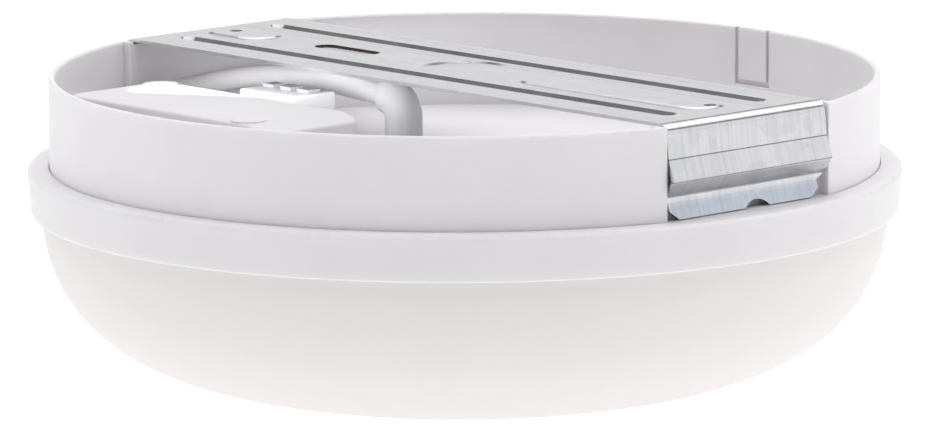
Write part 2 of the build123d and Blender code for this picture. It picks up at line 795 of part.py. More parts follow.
# Driver's transformer: a winding between the two plates of its core
with BuildPart() as driver_transformer:
    transformer_middle = (driver_middle[0] + transformer_place[0], driver_middle[1] + transformer_place[1])
    with Locations((*transformer_middle, circuit_top)):
        Box(*transformer_size, align=(Align.CENTER, Align.CENTER, Align.MIN))
    fillet(driver_transformer.edges().filter_by(Axis.Z), radius=transformer_size[2] / 10)
driver_transformer.part.label = "driver_transformer"
export_step(driver_transformer.part, "parts/driver_transformer.step")

# Driver's two capacitors
with BuildPart() as driver_capacitors:
    with BuildSketch(Plane.XY.offset(circuit_top)):
        for place in capacitor_places:
            with Locations((driver_middle[0] + place[0], driver_middle[1] + place[1])):
                Circle(capacitor_diameter / 2)
    extrude(amount=capacitor_height)
    chamfer(driver_capacitors.faces().filter_by(Axis.Z).group_by(Axis.Z)[-1].edges(), length=fit_gap)
driver_capacitors.part.label = "driver_capacitors"
export_step(driver_capacitors.part, "parts/driver_capacitors.step")

# Driver's choke, a wound ring lying on the board
with BuildPart() as driver_choke:
    with BuildSketch(Plane.XY.offset(circuit_top)):
        with Locations((driver_middle[0] + choke_place[0], driver_middle[1] + choke_place[1])):
            Circle(choke_outer / 2)
            Circle(choke_inner / 2, mode=Mode.SUBTRACT)
    extrude(amount=choke_height)
    fillet(driver_choke.edges(), radius=(choke_outer - choke_inner) / 8)
driver_choke.part.label = "driver_choke"
export_step(driver_choke.part, "parts/driver_choke.step")

# Driver's terminals: the outgoing one at the left edge of the board, the mains one at the back edge
mains_middle = (mains_inlets[0] + mains_inlets[1]) / 2
mains_wire_end = driver_back - driver_wall - driver_board_gap
with BuildPart() as driver_terminals:
    with Locations((board_left, lead_exit, circuit_top)):
        Box(*output_terminal_size, align=(Align.MIN, Align.CENTER, Align.MIN))
    with Locations((mains_middle, mains_wire_end, circuit_top)):
        Box(*input_terminal_size, align=(Align.CENTER, Align.MAX, Align.MIN))
driver_terminals.part.label = "driver_terminals"
export_step(driver_terminals.part, "parts/driver_terminals.step")

# Terminal block for the mains cable: three poles, each with a push button on top
pole_places = [
    (terminal_middle[0] + (number - (terminal_poles - 1) / 2) * terminal_pitch, terminal_middle[1])
    for number in range(terminal_poles)
]
button_places = [(place[0], place[1] + button_rear) for place in pole_places]
cavity_floor = floor_top + cavity_bottom
cavity_top = cavity_floor + cavity_height
terminal_top = floor_top + terminal_height

with BuildPart() as terminal_block:
    with BuildSketch(Plane.XY.offset(floor_top)):
        with Locations(terminal_middle):
            Rectangle(2 * terminal_half, terminal_width)
    extrude(amount=terminal_height)
    block_top_edges = terminal_block.edges().filter_by(Axis.Z, reverse=True).group_by(Axis.Z)[-1]
    fillet(block_top_edges, radius=terminal_round)
    with BuildSketch(Plane.XY.offset(floor_top)):
        with Locations(terminal_screw_place):
            Rectangle(terminal_ear_length, terminal_ear_width)
    extrude(amount=terminal_ear_height)
    fillet(terminal_block.edges().filter_by(Axis.Z).sort_by(Axis.X)[-2:], radius=screw_thread / 2)
    with BuildSketch(Plane.XY.offset(floor_top)):
        with Locations(terminal_screw_place):
            Circle(screw_thread / 2 + screw_play)
    extrude(amount=terminal_ear_height, mode=Mode.SUBTRACT)
    # cavities, button slots and wire holes
    with BuildSketch(Plane.XY.offset(cavity_floor)):
        with Locations(*pole_places):
            Rectangle(cavity_width, cavity_length)
    extrude(amount=cavity_height, mode=Mode.SUBTRACT)
    with BuildSketch(Plane.XY.offset(cavity_floor)):
        with Locations(*button_places):
            Rectangle(button_width + 2 * button_gap, button_length + 2 * button_gap)
    extrude(amount=terminal_height, mode=Mode.SUBTRACT)
    with BuildSketch(Plane.XZ.offset(-terminal_middle[1] - terminal_width / 2)):
        for place in pole_places:
            with Locations((place[0], wire_z)):
                Circle(wire_hole / 2)
    extrude(amount=terminal_width, mode=Mode.SUBTRACT)
terminal_block.part.label = "terminal_block"
export_step(terminal_block.part, "parts/terminal_block.step")

# Push buttons, each kept in by a wider foot under the block's top
button_foot_top = cavity_top - button_gap
button_top = terminal_top + button_proud
for number, (button_x, button_y) in enumerate(button_places, start=1):
    with BuildPart() as terminal_button:
        with BuildSketch(Plane.XY.offset(button_foot_top)):
            with Locations((button_x, button_y)):
                Rectangle(button_width, button_length)
        extrude(amount=button_top - button_foot_top)
        with BuildSketch(Plane.XY.offset(button_foot_top)):
            with Locations((button_x, button_y)):
                Rectangle(button_width, button_foot_length)
        extrude(amount=-button_foot_height)
        fillet(terminal_button.faces().sort_by(Axis.Z)[-1].edges(), radius=button_gap)
    terminal_button.part.label = f"terminal_button_{number}"
    export_step(terminal_button.part, f"parts/terminal_button_{number}.step")

# Clamp springs inside the block, drawn as far down as a pressed button leaves them
button_foot_low = button_foot_top - button_foot_height - button_travel
spring_tip = button_foot_low - button_gap
with BuildPart() as terminal_springs:
    for pole_x, pole_y in pole_places:
        with BuildSketch(Plane.YZ.offset(pole_x)):
            with BuildLine():
                FilletPolyline(
                    (pole_y + cavity_length / 2 - 2 * spring_sheet, cavity_floor),
                    (pole_y - cavity_length / 2 + 4 * spring_sheet, cavity_floor),
                    (pole_y - cavity_length / 2 + 2 * spring_sheet, wire_z),
                    (pole_y + button_rear + spring_bend, spring_tip),
                    radius=spring_bend,
                )
                offset(amount=spring_sheet, side=Side.RIGHT)
            make_face()
        extrude(amount=spring_width / 2, both=True)
terminal_springs.part.label = "terminal_springs"
export_step(terminal_springs.part, "parts/terminal_springs.step")

# Screw that holds the terminal block to the floor
terminal_screw = screw_group(
    [terminal_screw_place],
    floor_top + terminal_ear_height,
    terminal_ear_height + floor_thickness + tray_drop - head_height,
    upwards=False,
)
terminal_screw.part.label = "terminal_screw"
export_step(terminal_screw.part, "parts/terminal_screw.step")

# Two mains wires from the terminal block to the driver
wire_clamp_y = terminal_middle[1] - cavity_length / 2 - fit_gap
wire_gap = driver_back - (terminal_middle[1] - terminal_width / 2)
with BuildPart() as mains_wires:
    for start_x, end_x in zip(mains_poles, mains_inlets):
        route = [
            (start_x, wire_clamp_y, wire_z),
            (start_x, driver_back - wire_gap * 0.7, wire_z),
            (end_x, driver_back - wire_gap * 0.2, wire_z),
            (end_x, mains_wire_end, wire_z),
        ]
        radii = route_radii(route)
        print("mains wire radii", [round(radius, 1) for radius in radii])
        with BuildLine(mode=Mode.PRIVATE) as wire_path:
            FilletPolyline(*route, radius=radii)
        with BuildSketch(Plane(origin=route[0], z_dir=(0, -1, 0))):
            Circle(mains_wire_diameter / 2)
        sweep(path=wire_path.wire())
mains_wires.part.label = "mains_wires"
export_step(mains_wires.part, "parts/mains_wires.step")

# Sheathed lead from the driver round the left end of the bracket to the sleeve
sleeve_mouth_x = sleeve_place[0] - sleeve_bend - sleeve_mouth
lead_route = [
    (board_left, lead_exit, lead_exit_z),
    (-115.0, lead_exit, lead_exit_z),
    (-131.0, -60.0, -26.0),
    (-131.0, -28.0, -20.0),
    (-112.0, -6.0, -14.5),
    (-84.0, 0.0, -12.0),
    (-60.0, sleeve_place[1], lead_z),
    (sleeve_mouth_x + lead_overlap, sleeve_place[1], lead_z),
]
lead_radii = route_radii(lead_route)
print("lead radii", [round(radius, 1) for radius in lead_radii])
with BuildPart() as driver_lead:
    with BuildLine(mode=Mode.PRIVATE) as lead_path:
        FilletPolyline(*lead_route, radius=lead_radii)
    with BuildSketch(Plane(origin=lead_route[0], z_dir=(-1, 0, 0))):
        Circle(lead_diameter / 2)
    sweep(path=lead_path.wire())
lead_length = lead_path.wire().length
lead_volume = pi * (lead_diameter / 2) ** 2 * lead_length
print("lead length", round(lead_length, 1), "volume", round(driver_lead.part.volume / lead_volume, 4))
driver_lead.part.label = "driver_lead"
export_step(driver_lead.part, "parts/driver_lead.step")

# Silicone elbow that takes the lead's wires through the floor
sleeve_x, sleeve_y = sleeve_place
sleeve_low = floor_bottom - sleeve_below_floor
elbow_low = lead_z - sleeve_bend
elbow_left = sleeve_x - sleeve_bend
with BuildPart() as lead_sleeve:
    with BuildLine(mode=Mode.PRIVATE) as elbow_outside:
        FilletPolyline(
            (sleeve_x, sleeve_y, sleeve_low),
            (sleeve_x, sleeve_y, lead_z),
            (sleeve_mouth_x, sleeve_y, lead_z),
            radius=sleeve_bend,
        )
    with BuildLine(mode=Mode.PRIVATE) as elbow_inside:
        Line((sleeve_x, sleeve_y, sleeve_low), (sleeve_x, sleeve_y, elbow_low))
        TangentArc((sleeve_x, sleeve_y, elbow_low), (elbow_left, sleeve_y, lead_z), tangent=(0, 0, 1))
    with BuildSketch(Plane.XY.offset(sleeve_low)):
        with Locations(sleeve_place):
            Circle(sleeve_outer / 2)
    sweep(path=elbow_outside.wire())
    with BuildSketch(Plane.XY.offset(floor_top)):
        with Locations(sleeve_place):
            Circle(sleeve_flange / 2)
    extrude(amount=sleeve_flange_height)
    with BuildSketch(Plane.XY.offset(floor_bottom)):
        with Locations(sleeve_place):
            Circle(sleeve_barb / 2)
    extrude(amount=-sleeve_below_floor)
    with BuildSketch(Plane.XY.offset(sleeve_low)):
        with Locations(sleeve_place):
            Circle(sleeve_inner / 2)
    sweep(path=elbow_inside.wire(), mode=Mode.SUBTRACT)
    with BuildSketch(Plane.YZ.offset(sleeve_mouth_x)):
        with Locations((sleeve_y, lead_z)):
            Circle(lead_diameter / 2 + sleeve_play)
    extrude(amount=sleeve_mouth, mode=Mode.SUBTRACT)
lead_sleeve.part.label = "lead_sleeve"
export_step(lead_sleeve.part, "parts/lead_sleeve.step")

# The lead's two inner wires, down through the sleeve to the connector
connector_axis = board_bottom - connector_size[2] / 2
lead_end = sleeve_mouth_x + lead_overlap
connector_face = -board_inner_diameter / 2
with BuildPart() as led_wires:
    for wire_side in (-1, 1):
        wire_y = sleeve_y + wire_side * led_wire_spacing / 2
        with BuildLine(mode=Mode.PRIVATE) as led_path:
            FilletPolyline(
                (lead_end, wire_y, lead_z),
                (sleeve_x, wire_y, lead_z),
                (sleeve_x, wire_y, connector_axis),
                (connector_face - connector_wire_depth + pilot_play, wire_y, connector_axis),
                radius=[led_wire_bend, led_wire_lower_bend],
            )
        with BuildSketch(Plane.YZ.offset(lead_end)):
            with Locations((wire_y, lead_z)):
                Circle(led_wire_diameter / 2)
        sweep(path=led_path.wire())
led_wires.part.label = "led_wires"
export_step(led_wires.part, "parts/led_wires.step")
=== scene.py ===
import math

import bmesh
import bpy
from bpy.props import FloatProperty, PointerProperty, StringProperty
from mathutils import Matrix, Vector


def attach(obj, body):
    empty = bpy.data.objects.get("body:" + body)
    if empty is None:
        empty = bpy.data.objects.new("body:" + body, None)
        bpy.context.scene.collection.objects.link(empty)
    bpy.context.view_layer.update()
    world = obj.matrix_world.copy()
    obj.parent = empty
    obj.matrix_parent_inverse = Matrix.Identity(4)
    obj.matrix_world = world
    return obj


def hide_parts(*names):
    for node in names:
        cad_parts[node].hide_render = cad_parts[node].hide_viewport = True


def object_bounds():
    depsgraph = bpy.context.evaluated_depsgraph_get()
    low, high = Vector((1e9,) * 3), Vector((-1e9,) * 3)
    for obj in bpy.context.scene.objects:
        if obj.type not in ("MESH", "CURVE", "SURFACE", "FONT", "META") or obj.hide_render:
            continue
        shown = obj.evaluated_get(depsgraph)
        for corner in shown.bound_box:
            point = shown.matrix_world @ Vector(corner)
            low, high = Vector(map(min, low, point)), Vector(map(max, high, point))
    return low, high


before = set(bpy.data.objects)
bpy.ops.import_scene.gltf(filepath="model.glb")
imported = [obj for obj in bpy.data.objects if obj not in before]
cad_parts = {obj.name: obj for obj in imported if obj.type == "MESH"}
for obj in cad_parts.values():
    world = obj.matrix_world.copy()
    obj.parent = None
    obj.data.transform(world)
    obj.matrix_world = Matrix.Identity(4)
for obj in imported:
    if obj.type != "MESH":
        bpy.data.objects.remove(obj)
cad_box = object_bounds()

bl_info = {
    "name": "Outdoor wall light",
    "version": (1, 0, 0),
    "blender": (4, 5, 0),
    "location": "View3D > Sidebar > Wall light",
    "description": "Finishes a round outdoor wall light: housing, opal diffuser, steel bracket and wiring",
    "category": "Object",
}

MM = 0.001

# The camera: the photograph's width in pixels, the lens in pixels, the place in metres and the turns
VIEW_AZIMUTH = 47.2  # degrees from the bracket's length round to the camera's right
IMAGE_WIDTH = 930
LENS_PIXELS = 6742.45
SENSOR_WIDTH = 36.0  # in mm
CAMERA_AWAY = 2.433849
CAMERA_HEIGHT = 0.369155
CAMERA_PITCH = 0.172701  # down, in radians
CAMERA_ROLL = -0.005342

# The light tent's brightness from the horizon up to straight overhead, as pairs of the height, which
# is the sine of the elevation, and the brightness there
TENT_TOP = 1.5
TENT_RIGHT = 1.3  # how much brighter the side is that the bracket's bent end faces
TENT_BACK = ((0.0, 0.86), (0.4, 0.9), (0.47, 0.1), (0.56, 0.1), (0.64, 1.5), (1.0, TENT_TOP))
TENT_FRONT = (
    (0.0, 0.0),
    (0.1, 0.0),
    (0.18, 0.3),
    (0.42, 0.3),
    (0.5, 0.05),
    (0.62, 0.05),
    (0.75, 1.4),
    (1.0, TENT_TOP),
)

# The slim light over the driver: its middle in mm, and the way it faces away from
FILL_PLACE = (-46, -68, -5.0)
FILL_BACK = (0.5, -0.85, 0.14)

# The line of the driver's lead in millimetres: out of the driver, round the left end of the drum, and
# under the bracket to the silicone elbow
LEAD_ROUTE = (
    (-89.2, -84.9, -30.0),
    (-115.0, -84.9, -30.0),
    (-131.0, -60.0, -26.0),
    (-131.0, -28.0, -20.0),
    (-112.0, -6.0, -14.5),
    (-84.0, 0.0, -12.0),
    (-60.0, 0.0, -15.0),
    (-38.5, 0.0, -15.0),
)

# The single wires: their node, thickness and lines. Two run from the terminal block to the driver, and
# two from the end of the lead down through the elbow to the connector.
WIRE_ROUTES = (
    (
        "mains_wires",
        2.8,
        [
            ((x, -43.2, -28.2), (x, -50.5, -28.2), (x + 3.0, -57.9, -28.2), (x + 3.0, -63.7, -28.2))
            for x in (-57.0, -47.5)
        ],
    ),
    (
        "led_wires",
        2.2,
        [
            ((-38.5, y, -15.0), (-33.0, y, -15.0), (-33.0, y, -50.6), (-49.95, y, -50.6))
            for y in (-1.4, 1.4)
        ],
    ),
)

# Painted shade lines on the bracket, at the legs' creases and beside the far groove: the axis they stand
# on, the place and half the width, in mm. The lines across Y are on the top of the sheet only.
CREASE_SHADE_LINES = (
    ("Z", -12.9, 0.22),
    ("Z", -20.7, 0.22),
    ("Y", 15.6, 0.18),
    ("Y", 12.2, 0.18),
    ("Y", 34.5, 0.15),
)

TOP_LEVEL = -0.9  # what is above this is the top of the bracket's sheet, in mm

# Where the knock-outs' scores get painted shade, in mm: from here out across the bracket, within this
# radius, and below the rim
SCORE_INNER = 149.45
SCORE_OUTER = 150.8
SCORE_TOP = -1.7

# The slot in the bracket: the axis, its middle there and half its width, in mm, and where its cut
# edge starts below the top of the sheet
SLOT_REACH = (("X", -64.0, 16.3), ("Y", 0.0, 4.6))
SLOT_EDGE_TOP = -0.54

# Between these levels, in mm, a painted bluish reflection on the spring tabs comes in
BLUE_REFLECTION_TOP = -26.8
BLUE_REFLECTION_FULL = -30.0

# The silicone elbow's profile from its foot up: height above the last ring, and radius there, in mm
SLEEVE_RINGS = (
    (0.0, 5.6),
    (0.4, 7.9),
    (1.1, 8.1),
    (0.1, 7.0),
    (2.5, 7.0),
    (0.05, 9.6),
    (0.4, 9.9),
    (1.3, 9.9),
    (0.3, 9.3),
    (0.15, 7.7),
    (1.2, 7.05),
    (10.9, 7.0),
)
SLEEVE_FOOT = (-33.0, 0.0, -41.4)
SLEEVE_BEND = (-41.0, 0.0, -23.0)  # the middle of the elbow's bend
SLEEVE_BEND_RADIUS = 8.0
SLEEVE_WALL = 1.7
# The rounded mouth: how far it reaches on, and the share of the ring before it
SLEEVE_MOUTH = ((0.35, 1.0), (0.25, 0.97), (0.2, 0.9))


def hex_colour(code):
    """Turn an sRGB hex value into the linear colour that shaders use."""
    channels = [int(code[place:place + 2], 16) / 255 for place in (1, 3, 5)]
    linear = [c / 12.92 if c <= 0.04045 else ((c + 0.055) / 1.055) ** 2.4 for c in channels]
    return (*linear, 1.0)


def set_inputs(tree, node, inputs):
    """Give inputs, by name or number, a value each, or link them to another node's output."""
    for place, value in inputs.items():
        if isinstance(value, bpy.types.NodeSocket):
            tree.links.new(value, node.inputs[place])
        else:
            node.inputs[place].default_value = value


def add_node(tree, kind, settings=None, inputs=None):
    """Add one node with its own settings, and with values or links for its inputs."""
    node = tree.nodes.new(kind)
    for name, value in (settings or {}).items():
        setattr(node, name, value)
    set_inputs(tree, node, inputs or {})
    return node


def new_material(name, surface):
    """Start a material that has one Principled shader, with these values on its own sockets."""
    material = bpy.data.materials.new(name)
    material.use_nodes = True
    tree = material.node_tree
    shader = tree.nodes["Principled BSDF"]
    set_inputs(tree, shader, surface)
    return material, tree, shader


def finish_node(names, material):
    """Give CAD nodes a material in every slot they have."""
    for name in names:
        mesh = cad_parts[name].data
        mesh.materials.clear()
        mesh.materials.append(material)


def darker(code, share):
    """The same sRGB hex colour with each channel this share lower."""
    channels = [int(code[place:place + 2], 16) for place in (1, 3, 5)]
    return "#" + "".join(f"{round(channel * (1 - share)):02X}" for channel in channels)


def moulded_plastic(name, colour, roughness, grain_mm, grain_depth, ior=1.5, through_mm=0.0):
    """Injection-moulded plastic: a fine spark-eroded grain softens the gloss, the melt's flow leaves
    faint clouds in the colour and the gloss, and light goes a little way into a thin white wall."""
    material, tree, shader = new_material(name, {"IOR": ior})
    if through_mm:
        set_inputs(
            tree,
            shader,
            {
                "Subsurface Weight": 1.0,
                "Subsurface Radius": (1.0, 1.0, 1.0),
                "Subsurface Scale": through_mm * MM,
            },
        )
    place = add_node(tree, "ShaderNodeTexCoord").outputs["Object"]
    clouds = add_node(
        tree,
        "ShaderNodeTexNoise",
        inputs={"Vector": place, "Scale": 1 / (28 * MM), "Detail": 3.0, "Roughness": 0.55},
    ).outputs["Fac"]
    tint = add_node(
        tree,
        "ShaderNodeMix",
        {"data_type": "RGBA"},
        {"Factor": clouds, 6: hex_colour(darker(colour, 0.03)), 7: hex_colour(colour)},
    )
    gloss = add_node(
        tree,
        "ShaderNodeMapRange",
        inputs={"Value": clouds, "To Min": roughness - 0.05, "To Max": roughness + 0.05},
    )
    grain = add_node(
        tree,
        "ShaderNodeTexNoise",
        inputs={"Vector": place, "Scale": 1 / (grain_mm * MM), "Detail": 2.0, "Roughness": 0.5},
    )
    bump = add_node(
        tree,
        "ShaderNodeBump",
        inputs={"Strength": 0.25, "Distance": grain_depth * MM, "Height": grain.outputs["Fac"]},
    )
    set_inputs(
        tree,
        shader,
        {
            "Base Color": tint.outputs[2],
            "Roughness": gloss.outputs["Result"],
            "Normal": bump.outputs["Normal"],
        },
    )
    return material


def paint_score_shade(material):
    """Paint shade into the cut scores round the cable knock-outs, so they look grey beside the wall."""
    tree = material.node_tree
    shader = tree.nodes["Principled BSDF"]
    plain = shader.inputs["Base Color"].links[0].from_socket
    place = add_node(tree, "ShaderNodeTexCoord").outputs["Object"]
    where = add_node(tree, "ShaderNodeSeparateXYZ", inputs={"Vector": place}).outputs
    off_bracket = add_node(tree, "ShaderNodeMath", {"operation": "ABSOLUTE"}, {0: where["Y"]})
    out = add_node(tree, "ShaderNodeVectorMath", {"operation": "MULTIPLY"}, {0: place, 1: (1, 1, 0)})
    out = add_node(tree, "ShaderNodeVectorMath", {"operation": "LENGTH"}, {0: out.outputs["Vector"]})
    tests = (
        ("GREATER_THAN", off_bracket.outputs["Value"], SCORE_INNER),
        ("LESS_THAN", out.outputs["Value"], SCORE_OUTER),
        ("LESS_THAN", where["Z"], SCORE_TOP),
    )
    score = 1.0
    for operation, value, limit in tests:
        test = add_node(tree, "ShaderNodeMath", {"operation": operation}, {0: value, 1: limit * MM})
        both = add_node(
            tree, "ShaderNodeMath", {"operation": "MULTIPLY"}, {0: score, 1: test.outputs["Value"]}
        )
        score = both.outputs["Value"]
    # painted shade along the scores
    shaded = add_node(
        tree,
        "ShaderNodeMix",
        {"data_type": "RGBA"},
        {"Factor": score, 6: plain, 7: hex_colour("#DCD9DD")},
    )
    set_inputs(tree, shader, {"Base Color": shaded.outputs[2]})


def bright_metal(name, colour, roughness, streak_mm):
    """Plated or drawn metal: short parallel drawing marks break up its reflections."""
    material, tree, shader = new_material(name, {"Metallic": 1.0})
    place = add_node(tree, "ShaderNodeTexCoord").outputs["Object"]
    drawn = add_node(tree, "ShaderNodeMapping", inputs={"Vector": place, "Scale": (1.0, 30.0, 30.0)})
    marks = add_node(
        tree,
        "ShaderNodeTexNoise",
        inputs={"Vector": drawn.outputs["Vector"], "Scale": 1 / (streak_mm * 30 * MM), "Detail": 3.0},
    ).outputs["Fac"]
    gloss = add_node(
        tree,
        "ShaderNodeMapRange",
        inputs={"Value": marks, "To Min": roughness - 0.08, "To Max": roughness + 0.1},
    )
    tint = add_node(
        tree,
        "ShaderNodeMix",
        {"data_type": "RGBA"},
        {"Factor": marks, 6: hex_colour(darker(colour, 0.12)), 7: hex_colour(colour)},
    )
    set_inputs(tree, shader, {"Base Color": tint.outputs[2], "Roughness": gloss.outputs["Result"]})
    return material


def galvanised_sheet(colour, flake_mm, mark_mm):
    """Hot-dip galvanised steel sheet, rolled, press-formed and bent: zinc crystals show as faint facets of
    different grey, rolling leaves long fine lines along the strip, handling dulls it in patches, a thin
    dark line of painted shade lies at each crease, and the slot's cut edge has rusted brown."""
    material, tree, shader = new_material("galvanised_steel_sheet", {})
    place = add_node(tree, "ShaderNodeTexCoord").outputs["Object"]
    where = add_node(tree, "ShaderNodeSeparateXYZ", inputs={"Vector": place}).outputs
    flakes = add_node(
        tree, "ShaderNodeTexVoronoi", inputs={"Vector": place, "Scale": 1 / (flake_mm * MM)}
    )
    facet = add_node(tree, "ShaderNodeSeparateColor", inputs={"Color": flakes.outputs["Color"]})
    rolled = add_node(
        tree, "ShaderNodeMapping", inputs={"Vector": place, "Scale": (0.012, 1.0, 0.012)}
    )
    lines = add_node(
        tree,
        "ShaderNodeTexNoise",
        inputs={
            "Vector": rolled.outputs["Vector"],
            "Scale": 1 / (mark_mm * MM),
            "Detail": 4.0,
            "Roughness": 0.6,
        },
    ).outputs["Fac"]
    dull = add_node(
        tree,
        "ShaderNodeTexNoise",
        inputs={"Vector": place, "Scale": 1 / (22 * MM), "Detail": 4.0, "Roughness": 0.6},
    ).outputs["Fac"]
    zinc = add_node(
        tree,
        "ShaderNodeMix",
        {"data_type": "RGBA"},
        {"Factor": facet.outputs["Red"], 6: hex_colour(darker(colour, 0.035)), 7: hex_colour(colour)},
    )
    streak = add_node(
        tree, "ShaderNodeMapRange", inputs={"Value": lines, "To Min": -0.2, "To Max": 0.9}
    )
    streaked = add_node(
        tree,
        "ShaderNodeMix",
        {"data_type": "RGBA", "blend_type": "MULTIPLY"},
        {"Factor": streak.outputs["Result"], 6: zinc.outputs[2], 7: hex_colour("#DADBDD")},
    )
    # a painted bluish reflection on the spring tabs at the bottom
    blue_reflection_share = add_node(
        tree,
        "ShaderNodeMapRange",
        inputs={
            "Value": where["Z"],
            "From Min": BLUE_REFLECTION_TOP * MM,
            "From Max": BLUE_REFLECTION_FULL * MM,
            "To Max": 0.8,
        },
    )
    blue_reflected = add_node(
        tree,
        "ShaderNodeMix",
        {"data_type": "RGBA", "blend_type": "MULTIPLY"},
        {"Factor": blue_reflection_share.outputs["Result"], 6: streaked.outputs[2], 7: hex_colour("#D7DFEB")},
    )
    # painted shade lines: across the legs at their creases, and along the strip beside the far groove
    on_top = add_node(
        tree, "ShaderNodeMath", {"operation": "GREATER_THAN"}, {0: where["Z"], 1: TOP_LEVEL * MM}
    ).outputs["Value"]
    painted_line_mask = None
    for axis, level, half in CREASE_SHADE_LINES:
        line = add_node(
            tree,
            "ShaderNodeMath",
            {"operation": "COMPARE"},
            {0: where[axis], 1: level * MM, 2: half * MM},
        ).outputs["Value"]
        if axis == "Y":
            line = add_node(
                tree, "ShaderNodeMath", {"operation": "MULTIPLY"}, {0: line, 1: on_top}
            ).outputs["Value"]
        if painted_line_mask:
            line = add_node(
                tree, "ShaderNodeMath", {"operation": "MAXIMUM"}, {0: line, 1: painted_line_mask}
            ).outputs["Value"]
        painted_line_mask = line
    share = add_node(
        tree, "ShaderNodeMath", {"operation": "MULTIPLY"}, {0: painted_line_mask, 1: 0.75}
    ).outputs["Value"]
    line_shaded = add_node(
        tree,
        "ShaderNodeMix",
        {"data_type": "RGBA"},
        {"Factor": share, 6: blue_reflected.outputs[2], 7: hex_colour("#5E6466")},
    )
    # the slot is punched after the zinc bath, so its cut edge is bare steel with brown rust on it
    cut = add_node(
        tree, "ShaderNodeMath", {"operation": "LESS_THAN"}, {0: where["Z"], 1: SLOT_EDGE_TOP * MM}
    ).outputs["Value"]
    for axis, middle, half in SLOT_REACH:
        within = add_node(
            tree,
            "ShaderNodeMath",
            {"operation": "COMPARE"},
            {0: where[axis], 1: middle * MM, 2: half * MM},
        ).outputs["Value"]
        cut = add_node(
            tree, "ShaderNodeMath", {"operation": "MULTIPLY"}, {0: cut, 1: within}
        ).outputs["Value"]
    rust = add_node(
        tree,
        "ShaderNodeMix",
        {"data_type": "RGBA"},
        {"Factor": dull, 6: hex_colour("#2E2123"), 7: hex_colour("#5A4340")},
    )
    edged = add_node(
        tree,
        "ShaderNodeMix",
        {"data_type": "RGBA"},
        {"Factor": cut, 6: line_shaded.outputs[2], 7: rust.outputs[2]},
    )
    metal = add_node(tree, "ShaderNodeMath", {"operation": "SUBTRACT"}, {0: 1.0, 1: cut})
    fine = add_node(
        tree, "ShaderNodeMapRange", inputs={"Value": lines, "To Min": 0.11, "To Max": 0.15}
    )
    broad = add_node(
        tree, "ShaderNodeMapRange", inputs={"Value": dull, "To Min": 0.02, "To Max": 0.12}
    )
    gloss = add_node(
        tree,
        "ShaderNodeMath",
        {"operation": "ADD"},
        {0: fine.outputs["Result"], 1: broad.outputs["Result"]},
    )
    bump = add_node(
        tree,
        "ShaderNodeBump",
        inputs={"Strength": 0.1, "Distance": 0.01 * MM, "Height": lines},
    )
    set_inputs(
        tree,
        shader,
        {
            "Base Color": edged.outputs[2],
            "Metallic": metal.outputs["Value"],
            "Roughness": gloss.outputs["Value"],
            "Normal": bump.outputs["Normal"],
        },
    )
    return material


def sheathed(name, routes, thickness, facets, material):
    """Draw one smooth sheathed wire along each route, all in one curve."""
    curve = bpy.data.curves.new(name, "CURVE")
    curve.dimensions = "3D"
    curve.bevel_depth = thickness / 2 * MM
    curve.bevel_resolution = facets
    curve.resolution_u = 24
    curve.use_fill_caps = True
    for route in routes:
        line = curve.splines.new("NURBS")
        line.points.add(len(route) - 1)
        for point, place in zip(line.points, route):
            point.co = (*(Vector(place) * MM), 1.0)
        line.order_u = 3
        line.use_endpoint_u = True
    curve.materials.append(material)
    wires = bpy.data.objects.new(name, curve)
    bpy.context.scene.collection.objects.link(wires)
    return wires


def milky_silicone(name, colour):
    """Cast silicone rubber: a little light goes straight through its wall and the rest spreads in it,
    so it looks milky, and slight waves from its mould bend the highlights."""
    material, tree, shader = new_material(
        name,
        {
            "Roughness": 0.5,
            "IOR": 1.41,
            "Transmission Weight": 0.08,
            "Subsurface Weight": 1.0,
            "Subsurface Radius": (1.0, 1.0, 1.0),
            "Subsurface Scale": 1.5 * MM,
        },
    )
    place = add_node(tree, "ShaderNodeTexCoord").outputs["Object"]
    waves = add_node(
        tree,
        "ShaderNodeTexNoise",
        inputs={
            "Vector": place,
            "Scale": 1 / (5 * MM),
            "Detail": 2.0,
            "Roughness": 0.5,
            "Distortion": 0.6,
        },
    ).outputs["Fac"]
    tint = add_node(
        tree,
        "ShaderNodeMix",
        {"data_type": "RGBA"},
        {"Factor": waves, 6: hex_colour(darker(colour, 0.06)), 7: hex_colour(colour)},
    )
    bump = add_node(
        tree,
        "ShaderNodeBump",
        inputs={"Strength": 0.4, "Distance": 0.25 * MM, "Height": waves},
    )
    set_inputs(tree, shader, {"Base Color": tint.outputs[2], "Normal": bump.outputs["Normal"]})
    return material


def grow_rim(shape, edge, centre, scale, shift):
    """Extrude a tube's open rim, scale the new rim round the centre, and move both of them on."""
    grown = bmesh.ops.extrude_edge_only(shape, edges=edge)["geom"]
    verts = [part for part in grown if isinstance(part, bmesh.types.BMVert)]
    bmesh.ops.scale(shape, vec=scale, space=Matrix.Translation(-centre), verts=verts)
    bmesh.ops.translate(shape, vec=shift, verts=verts)
    centre += Vector(shift)
    return [part for part in grown if isinstance(part, bmesh.types.BMEdge)]


class WallLightSizes(bpy.types.PropertyGroup):
    """Sizes that a user would change."""

    grain: FloatProperty(
        name="Moulding grain",
        description="Size of the grain in the housing's surface, in millimetres",
        default=0.35,
        min=0.05,
        max=3.0,
    )
    zinc_flake: FloatProperty(
        name="Zinc crystal",
        description="Width of one crystal of the bracket's zinc coat, in millimetres",
        default=6.0,
        min=1.0,
        max=30.0,
    )
    lead: FloatProperty(
        name="Lead",
        description="Outer diameter of the driver's sheathed lead, in millimetres",
        default=8.0,
        min=5.0,
        max=8.0,
    )
    rolling_mark: FloatProperty(
        name="Rolling mark",
        description="Spacing of the fine lines along the bracket, in millimetres",
        default=1.1,
        min=0.3,
        max=10.0,
    )


